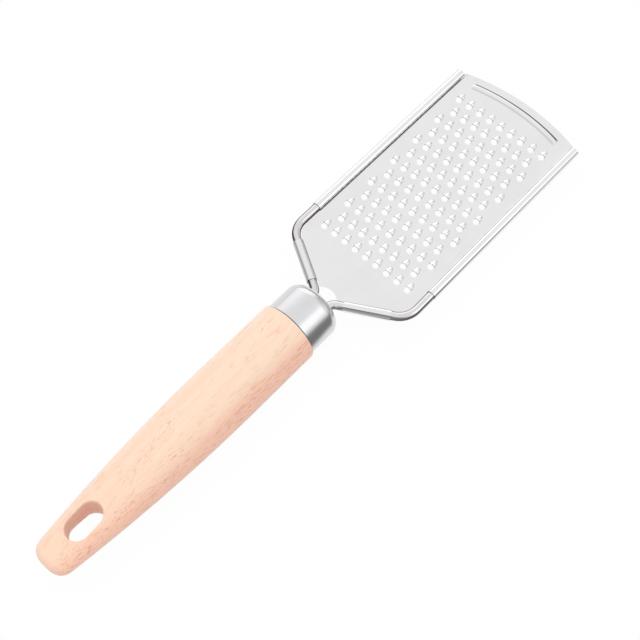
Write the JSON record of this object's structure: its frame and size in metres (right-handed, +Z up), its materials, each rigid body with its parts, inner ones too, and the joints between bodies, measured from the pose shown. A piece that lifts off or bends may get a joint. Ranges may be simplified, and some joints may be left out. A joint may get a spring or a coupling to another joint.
{
  "type": "hand grater",
  "caption": "Flat hand grater: steel plate of raised half-cone teeth rolled onto a bent wire frame, with a ferrule and a turned beech handle with a hanging slot.",
  "frame": {"origin": "middle of the bottom of the overall box, under the handle's fullest part", "axes": "+X along the tool from the handle's tail to the plate's far edge, +Y across the plate, +Z up, out of the side that the teeth stand on"},
  "size_m": [0.25, 0.06, 0.024],
  "materials": {
    "beech": "smooth sanded, unvarnished",
    "ferrule_steel": "satin, turned",
    "wire_steel": "polished",
    "sheet_steel": "bright rolled"
  },
  "bodies": {
    "root": {"handle": "beech", "ferrule": "ferrule_steel", "wire_frame": "wire_steel", "grating_plate": "sheet_steel"}
  },
  "joints": []
}
